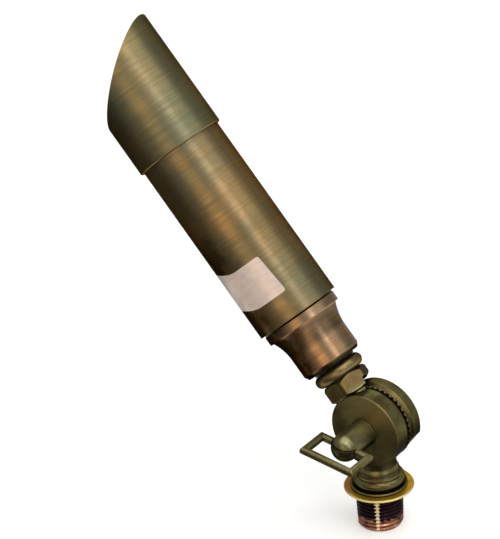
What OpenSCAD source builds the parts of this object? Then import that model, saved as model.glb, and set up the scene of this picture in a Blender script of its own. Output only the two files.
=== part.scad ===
// Directional spotlight: a brass bullet head with an angle-cut glare shroud on a
// face-toothed knuckle, locked by a thumb screw, over a half-inch pipe nipple.
// Millimetres, +Z up. The origin is on the nipple axis in the seat plane, under the flange.
// The knuckle turns about the Y axis, the head leans towards -X and the thumb screw is at -Y.

/* [Body tube] */
// Outside diameter of the body tube
tube_od = 38.1; // [36:0.1:42]
// Wall of the body tube
tube_wall = 2.2; // [2:0.1:2.6]
// Length of the body tube
tube_len = 101; // [96:1:130]
// Thickness of the flat gasket that seals the tube to the base cap
tube_gasket_t = 0.6; // [0.4:0.1:1.2]
// How far that gasket lies inside the tube's outside face
tube_gasket_inset = 1.9; // [1.7:0.1:2]

/* [Glare shroud] */
// Length of the shroud along its long side
shroud_long = 55.5; // [48:0.5:70]
// Length of the shroud along its short side
shroud_short = 22; // [20:0.5:30]
// Wall of the shroud
shroud_wall = 1.2; // [1:0.1:2]
// Radial gap in which the shroud slides and turns on the tube
shroud_gap = 0.2; // [0.15:0.05:0.35]
// Length of tube that the shroud covers
shroud_cover = 15; // [14:0.5:18]
// Angle of the long side round the tube, from straight up towards +Y
shroud_turn = 23; // [0:1:359]
// Chamfer on the shroud's back edge
shroud_chamfer = 0.4; // [0.2:0.1:0.6]

/* [Lens] */
// Thickness of the glass lens
lens_t = 3; // [2:0.5:3.5]
// Thickness of the lens gasket
lens_gasket_t = 1; // [0.6:0.1:1.4]
// Wire thickness of the retaining ring in front of the lens
lens_ring_t = 1.2; // [0.8:0.1:1.4]
// Radial width of that retaining ring
lens_ring_w = 2.2; // [1.6:0.1:3]
// Gap in the retaining ring, in degrees
lens_ring_open = 28; // [15:1:60]
// Width of the seat that carries the lens gasket
lens_seat_w = 0.8; // [0.6:0.1:0.9]
// Depth from the tube's rim to the retaining ring
lens_recess = 0.8; // [0.6:0.1:1.2]

/* [Seal rings] */
// Thickness of an O-ring as it sits squeezed in its groove
o_ring_d = 1.3; // [1:0.05:1.4]
// Distance from the tube's covered edge to the middle of the first O-ring
o_ring_first = 2.6; // [2:0.1:3]
// Distance between the two O-rings
o_ring_pitch = 4; // [3.4:0.1:4.4]

/* [Lamp] */
// Diameter of the reflector lamp's face
lamp_d = 25.4; // [22:0.1:28]
// Length of the reflector lamp without its pins
lamp_len = 30; // [26:0.5:32]
// Distance from the lamp's face to the lens
lamp_to_lens = 4; // [3:0.5:10]
// Thickness of the reflector's glass
lamp_wall = 1.2; // [0.9:0.1:1.6]
// Diameter of the lamp's base
lamp_base_d = 12; // [10:0.5:14]
// Length of the lamp's base
lamp_base_len = 8; // [6:0.5:10]
// Distance between the two lamp pins
pin_pitch = 4; // [3.6:0.1:5.3]
// Diameter of a lamp pin
pin_d = 0.7; // [0.6:0.05:1]
// Length of a lamp pin
pin_len = 6; // [5:0.5:7]
// Diameter of the ceramic lampholder
holder_d = 18; // [16:0.5:20]
// Height of the ceramic lampholder
holder_h = 11; // [9:0.5:13]

/* [Lampholder bracket] */
// Width of the bracket's strip
bracket_w = 9; // [7:0.5:12]
// Thickness of the bracket's strip
bracket_t = 1.2; // [0.8:0.1:1.6]
// How far the inside of a leg lies inside the edge of the base cap's spigot
bracket_inset = 6.3; // [5.9:0.1:6.4]
// Diameter of the bracket's screws
screw_d = 2.5; // [2:0.1:3]
// Diameter of a screw head
screw_head_d = 4.2; // [3.6:0.1:4.6]
// Height of a screw head
screw_head_h = 1.6; // [1:0.1:2]
// Diameter of a lead's insulation
lead_d = 1.8; // [1.4:0.1:2.4]
// Length of a lead from the lampholder to its crimp cap
lead_len = 17; // [12:1:22]
// Diameter of a crimp cap
splice_d = 5.6; // [5:0.1:6.4]
// Length of a crimp cap
splice_len = 11; // [8:0.5:12]
// Distance between the two leads
lead_pitch = 7.2; // [6.8:0.1:8]

/* [Base cap] */
// Diameter of the base cap's neck
neck_d = 27.5; // [25:0.1:30]
// Length of the straight neck, chamfer included
neck_len = 11; // [8:0.5:16]
// Length of the concave flare between the neck and the ring
flare_len = 10.2; // [8:0.2:14]
// Length of the ring under the tube
ring_len = 4.3; // [2.5:0.1:5]
// How far the ring's outside lies inside the tube's
ring_inset = 1.5; // [1.2:0.1:1.7]
// Step from the flare out to the ring
flare_step = 1.4; // [0.8:0.1:2]
// Width of the chamfer under the neck
neck_chamfer_w = 1.2; // [0.6:0.1:1.8]
// Height of the chamfer under the neck
neck_chamfer_h = 1.9; // [1:0.1:2.6]
// Length of the spigot that goes into the tube
spigot_len = 12; // [10:0.5:16]
// Diameter of the chamber inside the base cap
chamber_d = 18; // [14:0.5:19]

/* [Upper knuckle] */
// Height of the knuckle axis above the seat plane
swivel_h = 31; // [30:0.1:36]
// Diameter of the upper toothed disc
near_disc_d = 33.5; // [32:0.1:34]
// Thickness of the upper disc at its rim, from the middle of the joint
near_disc_t = 8.85; // [8.2:0.05:11]
// How far the faces of both discs are crowned
disc_crown = 1.1; // [0.6:0.1:1.6]
// Rounding of the discs' outer edges
disc_edge = 0.6; // [0.3:0.1:0.9]
// Hexagon of the neck, across its flats
hex_af = 19.05; // [17:0.05:21]
// Height of the hexagon's back half
hex_len = 5.8; // [4.4:0.1:7]
// How much further down the hexagon's front half runs, over the upper disc
hex_skirt = 2.5; // [1.8:0.1:3]
// Gap between the hexagon and the lower disc's rim
hex_gap = 0.4; // [0.3:0.1:1]
// Thickness of the half-round bead above the hexagon
bead_t = 5.6; // [4:0.1:7]
// Diameter of the bead
bead_d = 23.1; // [21.5:0.1:26]
// Height of the plain neck between the hexagon and the bead
bead_gap = 0.3; // [0.2:0.1:1.5]
// Thickness of the gasket between the bead and the base cap
neck_gasket_t = 0.9; // [0.6:0.1:2]
// Diameter of that gasket
neck_gasket_d = 19.6; // [17:0.1:21]
// Diameter of the threaded stud that holds the base cap
stud_d = 12; // [10:0.5:13]
// Length of that stud
stud_len = 12; // [8:0.5:12.5]
// Diameter of the wire passage in the stud
stud_bore_d = 6; // [4:0.5:7]

/* [Knuckle teeth] */
// Number of teeth on each disc
tooth_count = 40; // [30:1:48]
// Height of a tooth at the outer edge
tooth_depth = 1.3; // [0.8:0.05:1.4]
// Gap between the tips of the two discs, with the thumb screw backed off
tooth_clear = 0.1; // [0.1:0.05:0.3]
// Inside diameter of the ring of teeth
tooth_ring_id = 22.8; // [22.4:0.1:26]
// How far the teeth stop inside the upper disc's rim
tooth_inset = 0.1; // [0.1:0.05:0.3]
// Whole teeth that the head leans from upright, one half pitch more in mesh
lean_steps = 4; // [0:1:9]

/* [Lower knuckle] */
// Diameter of the lower toothed disc
far_disc_d = 35.6; // [34.6:0.1:37]
// Thickness of the lower disc at its rim, from the middle of the joint
far_disc_t = 7.5; // [7.2:0.05:9]
// Rounding of the lower disc's back edge
far_edge = 0.3; // [0.2:0.05:0.6]
// Width of the toothed step in front of the lower disc's full diameter
far_step = 1.9; // [1.7:0.05:2]
// Depth of the two flats that run from the lower disc down to the foot's neck
far_flat = 2; // [1:0.1:2.4]
// Distance from the middle of the joint to the front of the foot's web
web_front = 0.3; // [0.1:0.1:1.5]
// Outside diameter of the wire chamber in each disc
cup_od = 21.6; // [20:0.1:22.2]
// Diameter of the post in the middle of each disc
post_d = 12.4; // [11.5:0.1:13]
// Depth of the wire chamber in the upper disc
near_cup = 5.4; // [4.5:0.1:6]
// Depth of the wire chamber in the lower disc
far_cup = 4.2; // [3.8:0.1:4.6]
// Diameter of the foot's neck under the discs
foot_neck_d = 16.2; // [15:0.1:18]
// Diameter of the foot's rounded collar
collar_d = 22.8; // [22.6:0.1:25]
// Height of the collar and the flare above it
collar_h = 9.6; // [9:0.1:10.4]
// Height of the half-round lip at the bottom of the foot
lip_h = 1.4; // [0.8:0.1:1.4]
// How far that lip stands out from the foot
lip_w = 1.9; // [1.2:0.1:2.2]
// Gap between the upper disc and the saddle of the foot under it
saddle_gap = 0.45; // [0.3:0.05:0.8]
// Diameter of the wire passages between the foot and the discs
passage_d = 3.8; // [3:0.1:4]

/* [Thumb screw] */
// Diameter of the thumb screw's boss and dome
boss_d = 12.2; // [11:0.1:14]
// Length of the boss from the clamp washer to the middle of the dome
boss_len = 12.7; // [10:0.1:16]
// Width of the loop handle
loop_w = 26.2; // [22:0.1:32]
// Length of the loop handle along the screw
loop_l = 16.2; // [15.2:0.1:20]
// Distance from the middle of the dome back to the loop's near side
loop_back = 1.4; // [0.5:0.1:2.5]
// Width of the loop's bar, seen on the loop's face
bar_w = 2.9; // [2.6:0.1:3.8]
// Thickness of the loop's bar
bar_t = 3.3; // [2.4:0.1:4]
// Chamfer on the edges of the loop's bar
bar_chamfer = 0.7; // [0.2:0.1:0.8]
// Angle of the loop's face from level
loop_turn = 10; // [-90:1:90]
// Thickness of the clamp washer
washer_t = 1; // [0.6:0.1:1.6]
// Diameter of the clamp washer
washer_d = 12.6; // [12.4:0.1:14.5]
// Diameter of the clamp screw's thread
clamp_d = 8; // [6:0.1:8.4]
// Reach of the clamp screw past the middle of the joint
clamp_reach = 3.8; // [3:0.1:4]
// Depth of the clamp screw in the boss
clamp_grip = 10; // [6:0.5:11]

/* [Flange and nipple] */
// Diameter of the flange washer
flange_d = 30.4; // [28:0.1:36]
// Thickness of the flange washer
flange_t = 1; // [0.8:0.1:1.6]
// Depth of the recess under the flange that takes the end of the thread
relief_t = 0.3; // [0.2:0.05:0.5]
// Radial clearance of that recess round the thread
relief_gap = 0.9; // [0.85:0.05:1.4]
// Outside diameter of the pipe thread
nipple_d = 20.8; // [20.4:0.05:21.4]
// Length of the pipe thread below the flange
nipple_len = 18; // [12:0.5:25]
// Bore of the nipple
nipple_bore = 14; // [10:0.5:14.4]
// Chamfer at the nipple's lower end
nipple_chamfer = 0.8; // [0.4:0.1:1.2]
// Diameter of the nipple's spigot in the foot
root_d = 17.8; // [16.8:0.1:18.2]
// Length of the nipple's spigot above the seat plane
root_len = 6.4; // [5:0.1:7]

/* [Fits] */
// Radial clearance of a piece that is assembled into its seat
fit = 0.05; // [0.03:0.01:0.1]
// Radial clearance of the clamp screw in the upper disc and the washer
clamp_clear = 0.3; // [0.2:0.05:0.5]

/* [Hidden] */
$fn = 96;
eps = 0.01;

// Radii
tube_r = tube_od / 2;
tube_ir = tube_r - tube_wall;
shroud_ir = tube_r + shroud_gap;
shroud_r = shroud_ir + shroud_wall;
ring_r = tube_r - ring_inset;
flare_r = ring_r - flare_step;
neck_r = neck_d / 2;
spigot_r = tube_ir - fit;
near_r = near_disc_d / 2;
far_r = far_disc_d / 2;
hex_r = hex_af / 2 / cos(30);
hex_end_r = hex_r - 1.7 * (hex_r - hex_af / 2);
bead_minor = bead_t / 2;
bead_core_r = bead_d / 2 - bead_minor;
stud_r = stud_d / 2;
clamp_r = clamp_d / 2;
boss_r = boss_d / 2;
foot_neck_r = foot_neck_d / 2;
collar_r = collar_d / 2;
flat_r = far_r - far_flat;
root_r = root_d / 2;

// Places along the head, measured from the knuckle axis
hex_bottom = far_r + hex_gap;
hex_low = hex_bottom - hex_skirt;
hex_top = hex_bottom + hex_len;
bead_mid = hex_top + bead_gap + bead_minor;
stud_seat = bead_mid + bead_minor + 0.15;
cap_bottom = stud_seat + neck_gasket_t;
flare_bottom = cap_bottom + neck_len;
ring_bottom = flare_bottom + flare_len;
ring_top = ring_bottom + ring_len;
tube_bottom = ring_top + tube_gasket_t;
spigot_top = ring_top + spigot_len;
tube_top = tube_bottom + tube_len;
shroud_bottom = tube_top - shroud_cover;

// Lens stack, from the rim of the tube down
lens_ring_top = tube_top - lens_recess;
lens_top = lens_ring_top - lens_ring_t;
lens_bottom = lens_top - lens_t;
lens_seat = lens_bottom - lens_gasket_t;
lens_seat_r = tube_ir + lens_seat_w;
lens_r = lens_seat_r - fit;
ring_groove = 0.35;

// Lamp stack, from the lens down
lamp_face = lens_bottom - lamp_to_lens;
lamp_bottom = lamp_face - lamp_len;
holder_top = lamp_bottom - 0.2;
holder_bottom = holder_top - holder_h;
bracket_top = holder_bottom;
bracket_leg = spigot_r - bracket_inset;
foot_tab = 5.4;
screw_len = 6;
foot_screw_x = bracket_leg + bracket_t + foot_tab / 2 - 0.4;
holder_screw_x = holder_d / 2 - 2.2;
cap_ring_z = ring_top + spigot_len / 2;
stud_room = stud_len + 1;

// Joint planes across the knuckle, along the Y axis
joint_gap = tooth_depth + tooth_clear;
tooth_valley = joint_gap / 2 + tooth_depth / 2;
tooth_ring_r = near_r - tooth_inset;
lean = (lean_steps + 0.5) * 360 / tooth_count;
washer_seat_r = washer_d / 2 + 0.3;
near_crown_r = near_r - disc_edge;
crown_at_seat = disc_crown * (1 - pow(washer_seat_r / near_crown_r, 2));
washer_y = near_disc_t + crown_at_seat;
boss_y = washer_y + washer_t;
dome_y = boss_y + boss_len;

// Hollow of the foot, for the wires
root_top = root_len + 0.4;
foot_chamber_r = root_r - 3.4;
foot_chamber_top = root_top + 4;

// Web of the foot: its half width, how far below the joint it ends and the slope of the flats
web_reach = foot_neck_r - 2.3;
web_drop = far_r + 0.6;
web_dist = sqrt(web_reach * web_reach + web_drop * web_drop);
flat_slope = atan2(-web_drop, web_reach) + acos(flat_r / web_dist);
passage_y = (far_step + far_disc_t) / 2;

// Points of an arc round [x, y], from angle a0 to a1
function arc_points(x, y, r, a0, a1, n) =
    [for (i = [0:n]) let (a = a0 + (a1 - a0) * i / n) [x + r * cos(a), y + r * sin(a)]];

// Crowned face of a disc from radius r0 in to r1, at height h over its rim
function crown_points(r0, r1, h, n) =
    [for (i = [0:n]) let (r = r0 + (r1 - r0) * i / n) [r, h + disc_crown * (1 - pow(r / r0, 2))]];

// The head's own frame: +Z along the tube, the knuckle axis through its origin
module head_frame() {
    translate([0, 0, swivel_h]) rotate([0, -lean, 0]) children();
}

// The knuckle axis: +Z of the child lies along +Y
module knuckle_axis() {
    rotate([-90, 0, 0]) children();
}

module ring_of(outer_r, inner_r, z0, z1) {
    difference() {
        translate([0, 0, z0]) cylinder(r = outer_r, h = z1 - z0);
        translate([0, 0, z0 - 1]) cylinder(r = inner_r, h = z1 - z0 + 2);
    }
}

module bore(r, z0, z1) {
    translate([0, 0, z0]) cylinder(r = r, h = z1 - z0);
}

// O-ring of thickness o_ring_d whose outside radius is r
module o_ring(r, z) {
    translate([0, 0, z]) rotate_extrude()
        translate([r - o_ring_d / 2, 0]) circle(d = o_ring_d, $fn = 24);
}

module o_ring_groove(r, z) {
    half = o_ring_d / 2 + fit;
    difference() {
        translate([0, 0, z - half]) cylinder(r = r + 2 * o_ring_d, h = 2 * half);
        translate([0, 0, z - half - 1]) cylinder(r = r - o_ring_d - eps, h = 2 * half + 2);
    }
}

// Ring of radial face teeth: tips up at multiples of the pitch, mid-height at z = 0,
// height falling towards the middle as true radial teeth do
module tooth_ring(r_out, r_in, base) {
    steps = 2 * tooth_count;
    function height(k, r) = (k % 2 == 0 ? 0.5 : -0.5) * tooth_depth * r / r_out;
    points = concat(
        [for (k = [0:steps - 1]) let (a = 360 * k / steps)
            [r_out * cos(a), r_out * sin(a), height(k, r_out)]],
        [for (k = [0:steps - 1]) let (a = 360 * k / steps)
            [r_in * cos(a), r_in * sin(a), height(k, r_in)]],
        [for (k = [0:steps - 1]) let (a = 360 * k / steps) [r_out * cos(a), r_out * sin(a), -base]],
        [for (k = [0:steps - 1]) let (a = 360 * k / steps) [r_in * cos(a), r_in * sin(a), -base]]);
    // Two triangles between corners a and b of one loop and c and d of the next
    function strip(p, q) = [for (k = [0:steps - 1]) let (n = (k + 1) % steps)
        for (face = [[p + k, q + k, q + n], [p + k, q + n, p + n]]) face];
    polyhedron(points = points, convexity = 8, faces = concat(
        strip(0, steps), strip(steps, 3 * steps), strip(3 * steps, 2 * steps),
        strip(2 * steps, 0)));
}

// Rectangular frame of chamfered square bar, mitred at its corners, in the XY plane
module bar_frame(w, l, bw, bt, c) {
    section = [[0, -bt / 2 + c], [c, -bt / 2], [bw - c, -bt / 2], [bw, -bt / 2 + c],
               [bw, bt / 2 - c], [bw - c, bt / 2], [c, bt / 2], [0, bt / 2 - c]];
    corners = [[-1, -1], [1, -1], [1, 1], [-1, 1]];
    points = [for (k = corners) for (s = section)
        [k[0] * (w / 2 - s[0]), k[1] * (l / 2 - s[0]), s[1]]];
    faces = [for (i = [0:3]) for (j = [0:7]) let (n = (i + 1) % 4, m = (j + 1) % 8)
        [8 * i + j, 8 * n + j, 8 * n + m, 8 * i + m]];
    polyhedron(points = points, faces = faces, convexity = 4);
}

// Half of the plane that the shroud is cut along
module shroud_cut() {
    mid = shroud_bottom + (shroud_long + shroud_short) / 2;
    slope = atan((shroud_long - shroud_short) / (2 * shroud_r));
    translate([0, 0, mid]) rotate([0, -slope, 0])
        translate([-4 * shroud_r, -4 * shroud_r, 0]) cube(8 * shroud_r);
}

module shroud() {
    color("#6e5f3c") head_frame() rotate([0, 0, shroud_turn]) difference() {
        rotate_extrude() polygon([
            [shroud_ir, shroud_bottom], [shroud_r - shroud_chamfer, shroud_bottom],
            [shroud_r, shroud_bottom + shroud_chamfer],
            [shroud_r, shroud_bottom + shroud_long + shroud_short],
            [shroud_ir, shroud_bottom + shroud_long + shroud_short]]);
        shroud_cut();
    }
}

module shroud_o_rings() {
    color("#1d1d1b") head_frame() for (i = [0:1])
        o_ring(shroud_ir - fit, shroud_bottom + o_ring_first + i * o_ring_pitch);
}

module lens_ring() {
    color("#8f8f8a") head_frame() difference() {
        ring_of(lens_seat_r + ring_groove - fit, lens_seat_r - lens_ring_w, lens_top, lens_ring_top);
        rotate([0, 0, -90 - lens_ring_open / 2]) translate([0, 0, lens_top - 1])
            rotate_extrude(angle = lens_ring_open) square([tube_r, lens_ring_t + 2]);
    }
}

module lens() {
    color("#dfe9e6") head_frame() translate([0, 0, lens_bottom]) cylinder(r = lens_r, h = lens_t);
}

module lens_gasket() {
    color("#d9d4cc") head_frame() ring_of(lens_r, tube_ir - 1, lens_seat, lens_bottom);
}

module body_tube() {
    color("#6f6240") head_frame() difference() {
        ring_of(tube_r, tube_ir, tube_bottom, tube_top);
        bore(lens_seat_r, lens_seat, tube_top + 1);
        bore(lens_seat_r + ring_groove, lens_top - fit, lens_ring_top + fit);
        for (i = [0:1])
            o_ring_groove(shroud_ir - fit, shroud_bottom + o_ring_first + i * o_ring_pitch);
    }
}

// Bowl of the reflector, from radius r0 at its base to r1 at its face
function bowl(r0, r1, z0, z1, n) =
    [for (i = [0:n]) let (s = i / n) [r0 + (r1 - r0) * sqrt(s), z0 + (z1 - z0) * s]];

function reversed(list) = [for (i = [len(list) - 1:-1:0]) list[i]];

// Both lamp pins, or the holes round them
module pin_pair(r, z0, z1) {
    for (side = [-1, 1]) translate([0, side * pin_pitch / 2, 0]) bore(r, z0, z1);
}

module lamp_reflector() {
    base_top = lamp_bottom + lamp_base_len;
    base_r = lamp_base_d / 2;
    face_r = lamp_d / 2;
    color("#c9c4b4") head_frame() difference() {
        rotate_extrude() polygon(concat(
            [[0, lamp_bottom], [base_r, lamp_bottom]],
            bowl(base_r, face_r, base_top, lamp_face - lamp_wall, 10),
            [[face_r, lamp_face], [face_r - lamp_wall, lamp_face]],
            reversed(bowl(base_r - lamp_wall, face_r - lamp_wall, base_top + lamp_wall,
                          lamp_face - lamp_wall, 10)),
            [[0, base_top + lamp_wall]]));
        pin_pair(pin_d / 2 + fit, lamp_bottom - 1, base_top + lamp_wall + 1);
    }
}

module lamp_capsule() {
    seat = lamp_bottom + lamp_base_len + lamp_wall;
    r = pin_pitch / 2 + 1.2;
    color("#f2efe4") head_frame() translate([0, 0, seat]) {
        cylinder(r = r, h = lamp_len / 4);
        translate([0, 0, lamp_len / 4]) sphere(r = r, $fn = 48);
    }
}

module lamp_pins() {
    color("#b9b6ac") head_frame()
        pin_pair(pin_d / 2, lamp_bottom - pin_len, lamp_bottom + lamp_base_len + lamp_wall);
}

module lampholder() {
    color("#e6e2d8") head_frame() difference() {
        translate([0, 0, holder_bottom]) cylinder(d = holder_d, h = holder_h);
        pin_pair(pin_d / 2 + 2 * fit, lamp_bottom - pin_len - 1, holder_top + 1);
        for (side = [-1, 1]) translate([side * holder_screw_x, 0, 0])
            bore(screw_d / 2 + fit, holder_bottom - 1, holder_bottom + screw_len - bracket_t + 1);
    }
}

// Bent strip: a bridge under the lampholder, two legs and two tabs on the base cap
module socket_bracket() {
    leg_out = bracket_leg + bracket_t;
    color("#b8b4a8") head_frame() difference() {
        translate([0, -bracket_w / 2, 0]) {
            translate([-leg_out, 0, bracket_top - bracket_t])
                cube([2 * leg_out, bracket_w, bracket_t]);
            for (side = [0, 1]) mirror([side, 0, 0]) {
                translate([bracket_leg, 0, spigot_top])
                    cube([bracket_t, bracket_w, bracket_top - spigot_top]);
                translate([bracket_leg, 0, spigot_top]) cube([foot_tab, bracket_w, bracket_t]);
            }
        }
        for (side = [-1, 1]) {
            translate([side * holder_screw_x, 0, 0])
                bore(screw_d / 2 + fit, bracket_top - bracket_t - 1, bracket_top + 1);
            translate([side * foot_screw_x, 0, 0])
                bore(screw_d / 2 + fit, spigot_top - 1, spigot_top + bracket_t + 1);
            translate([0, side * lead_pitch / 2, 0])
                bore(lead_d / 2 + 2 * fit, bracket_top - bracket_t - 1, bracket_top + 1);
        }
    }
}

// One pan-head screw with its head's underside at z = 0 and its shank below
module pan_screw() {
    translate([0, 0, -screw_len]) cylinder(d = screw_d, h = screw_len + eps, $fn = 24);
    difference() {
        rotate_extrude($fn = 32) polygon(concat([[0, 0], [screw_head_d / 2, 0]],
            [for (i = [0:6]) let (a = i * 15) [screw_head_d / 2 * cos(a) * 0.98,
                screw_head_h * (0.4 + 0.6 * sin(a))]]));
        translate([-screw_head_d, -0.3, screw_head_h * 0.55])
            cube([2 * screw_head_d, 0.6, screw_head_h]);
    }
}

module bracket_screws() {
    color("#a8a59b") head_frame() for (side = [-1, 1]) {
        translate([side * foot_screw_x, 0, spigot_top + bracket_t]) pan_screw();
        translate([side * holder_screw_x, 0, bracket_top - bracket_t])
            rotate([180, 0, 0]) pan_screw();
    }
}

module socket_leads() {
    color("#d8d3c4") head_frame() for (side = [-1, 1])
        translate([0, side * lead_pitch / 2, 0])
            bore(lead_d / 2, holder_bottom - lead_len, holder_bottom);
}

module splice_caps() {
    top = holder_bottom - lead_len;
    color("#4a4a4c") head_frame() for (side = [-1, 1])
        translate([0, side * lead_pitch / 2, top - splice_len]) rotate_extrude($fn = 48)
            polygon([[0, 0], [splice_d / 2 - 0.8, 0], [splice_d / 2 - 0.3, 0.8],
                     [splice_d / 2, splice_len - 1], [splice_d / 2 - 0.4, splice_len],
                     [0, splice_len]]);
}

// Turned cap: spigot in the tube, ring, concave flare, neck, threaded for the knuckle's stud
module base_cap() {
    sweep_r = (pow(flare_len, 2) + pow(flare_r - neck_r, 2)) / (2 * (flare_r - neck_r));
    sweep_a = asin(flare_len / sweep_r);
    edge = 0.3;
    color("#8c6440") head_frame() difference() {
        rotate_extrude() polygon(concat(
            [[0, cap_bottom], [neck_r - neck_chamfer_w, cap_bottom],
             [neck_r, cap_bottom + neck_chamfer_h]],
            arc_points(neck_r + sweep_r, flare_bottom, sweep_r, 180, 180 - sweep_a, 10),
            [[ring_r - edge, ring_bottom], [ring_r, ring_bottom + edge],
             [ring_r, ring_top - edge], [ring_r - edge, ring_top],
             [spigot_r, ring_top], [spigot_r, spigot_top - edge],
             [spigot_r - edge, spigot_top], [0, spigot_top]]));
        bore(stud_r + fit, cap_bottom - 1, cap_bottom + stud_room);
        bore(chamber_d / 2, cap_bottom + stud_room - eps, spigot_top + 1);
        o_ring_groove(tube_ir - fit / 2, cap_ring_z);
        for (side = [-1, 1]) translate([side * foot_screw_x, 0, 0])
            bore(screw_d / 2 + fit, spigot_top + bracket_t - screw_len - 1, spigot_top + 1);
    }
}

module base_cap_gasket() {
    color("#191a18") head_frame()
        ring_of(tube_r - tube_gasket_inset, spigot_r + fit, ring_top, tube_bottom);
}

module base_cap_o_ring() {
    color("#1d1d1b") head_frame() o_ring(tube_ir - fit / 2, cap_ring_z);
}

module neck_gasket() {
    color("#20251f") head_frame()
        ring_of(neck_gasket_d / 2, stud_r + fit, stud_seat, cap_bottom);
}

// Hexagon from z0 up, with the corners of both ends turned off as on a nut
module turned_hexagon(z0) {
    corner = hex_r - hex_af / 2;
    intersection() {
        translate([0, 0, z0]) cylinder(r = hex_r, h = hex_top - z0, $fn = 6);
        rotate_extrude() polygon([
            [0, z0], [hex_end_r, z0], [hex_r - 0.1 * corner, z0 + 1.6],
            [hex_r - 0.1 * corner, hex_top - 1.3], [hex_r - corner, hex_top], [0, hex_top]]);
    }
}

// Casting: stud, bead, hexagon and the upper toothed disc, hollow for the wires
module upper_knuckle() {
    front = near_disc_t;
    color("#5c5233") head_frame() difference() {
        union() {
            bore(stud_r, stud_seat - eps, stud_seat + stud_len);
            bore(bead_core_r, hex_top - eps, stud_seat);
            translate([0, 0, bead_mid]) rotate_extrude()
                translate([bead_core_r, 0]) circle(r = bead_minor, $fn = 40);
            turned_hexagon(hex_bottom);
            intersection() {
                union() {
                    turned_hexagon(hex_low);
                    bore(hex_end_r, near_r / 2, hex_low + eps);
                }
                translate([-near_r, -front - near_r, 0])
                    cube([2 * near_r, front + near_r - tooth_valley, 2 * near_r]);
            }
            knuckle_axis() mirror([0, 0, 1]) rotate_extrude() polygon(concat(
                [[0, tooth_valley], [near_r, tooth_valley], [near_r, front - disc_edge]],
                arc_points(near_r - disc_edge, front - disc_edge, disc_edge, 15, 75, 4),
                crown_points(near_crown_r, washer_seat_r, front, 8),
                [[washer_seat_r, washer_y], [0, washer_y]]));
            knuckle_axis() translate([0, 0, -joint_gap / 2])
                tooth_ring(tooth_ring_r, tooth_ring_id / 2, tooth_depth / 2 + 0.5);
        }
        knuckle_axis() bore(clamp_r + clamp_clear, -washer_y - 1, 1);
        knuckle_axis() ring_of(cup_od / 2, post_d / 2, -tooth_valley - near_cup, 1);
        bore(stud_bore_d / 2, hex_bottom + 1.2, stud_seat + stud_len + 1);
        translate([0, -tooth_valley - near_cup / 2, 0])
            bore(passage_d / 2, post_d / 2 + 1, hex_bottom + 3.2);
    }
}

module clamp_washer() {
    color("#6b6040") translate([0, 0, swivel_h]) knuckle_axis()
        ring_of(washer_d / 2, clamp_r + clamp_clear, -boss_y, -washer_y);
}

// Casting: boss, dome and loop handle in one piece
module thumb_screw() {
    loop_mid = dome_y - loop_back + loop_l / 2;
    color("#5f5638") translate([0, 0, swivel_h]) difference() {
        union() {
            knuckle_axis() bore(boss_r, -dome_y, -boss_y);
            translate([0, -dome_y, 0]) sphere(r = boss_r);
            rotate([0, loop_turn, 0]) translate([0, -loop_mid, 0])
                bar_frame(loop_w, loop_l, bar_w, bar_t, bar_chamfer);
        }
        knuckle_axis() bore(clamp_r + fit, -boss_y - clamp_grip - fit, -boss_y + 1);
    }
}

module clamp_stud() {
    color("#8b8068") translate([0, 0, swivel_h]) knuckle_axis() {
        bore(clamp_r, -boss_y - clamp_grip, clamp_reach - 0.6);
        translate([0, 0, clamp_reach - 0.6 - eps]) cylinder(r1 = clamp_r, r2 = clamp_r - 0.6, h = 0.6);
    }
}

// Web between the lower disc and the foot's neck, its sides just inside the disc's flats
module foot_web() {
    side_r = flat_r - 0.3;
    slope = atan2(-web_drop, web_reach) + acos(side_r / web_dist);
    x = side_r * cos(slope);
    y = -side_r * sin(slope);
    knuckle_axis() translate([0, 0, web_front]) linear_extrude(far_disc_t - far_edge - web_front)
        polygon([[-x, y], [-web_reach, web_drop], [web_reach, web_drop], [x, y]]);
}

// What the two flats take off the lower disc, from just in front of its full diameter
module disc_flats() {
    for (turn = [-flat_slope, 180 + flat_slope])
        rotate([0, 0, turn]) translate([flat_r, -far_r, far_step - 0.25])
            cube([far_r, 2 * far_r, far_disc_t]);
}

// Casting: the lower toothed disc, its web and the foot, hollow for the wires
module lower_knuckle() {
    back = far_disc_t;
    neck_top = swivel_h - far_r + 2;
    color("#564d31") difference() {
        union() {
            translate([0, 0, swivel_h]) knuckle_axis() {
                difference() {
                    rotate_extrude() polygon(concat(
                        [[0, tooth_valley], [near_r, tooth_valley], [near_r, far_step],
                         [far_r, far_step + 0.6 * (far_r - near_r)], [far_r, back - far_edge]],
                        arc_points(far_r - far_edge, back - far_edge, far_edge, 15, 75, 4),
                        crown_points(far_r - far_edge, 0, back, 10)));
                    disc_flats();
                }
                translate([0, 0, joint_gap / 2]) mirror([0, 0, 1])
                    tooth_ring(tooth_ring_r, tooth_ring_id / 2, tooth_depth / 2 + 0.5);
            }
            difference() {
                union() {
                    rotate_extrude() polygon(foot_outline(neck_top));
                    translate([0, 0, swivel_h]) foot_web();
                }
                translate([0, 0, swivel_h]) knuckle_axis()
                    bore(near_r + saddle_gap, -collar_r - 1, far_step);
            }
        }
        translate([0, 0, swivel_h]) knuckle_axis() {
            bore(clamp_r + fit, -1, clamp_reach + joint_gap + 0.6);
            ring_of(cup_od / 2, post_d / 2, -1, tooth_valley + far_cup);
        }
        bore(root_r + fit, flange_t - 1, root_top);
        bore(foot_chamber_r, root_top - eps, foot_chamber_top);
        translate([0, passage_y, 0])
            bore(passage_d / 2, foot_chamber_top - 1.5, swivel_h - post_d / 2 - 1);
    }
}

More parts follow.
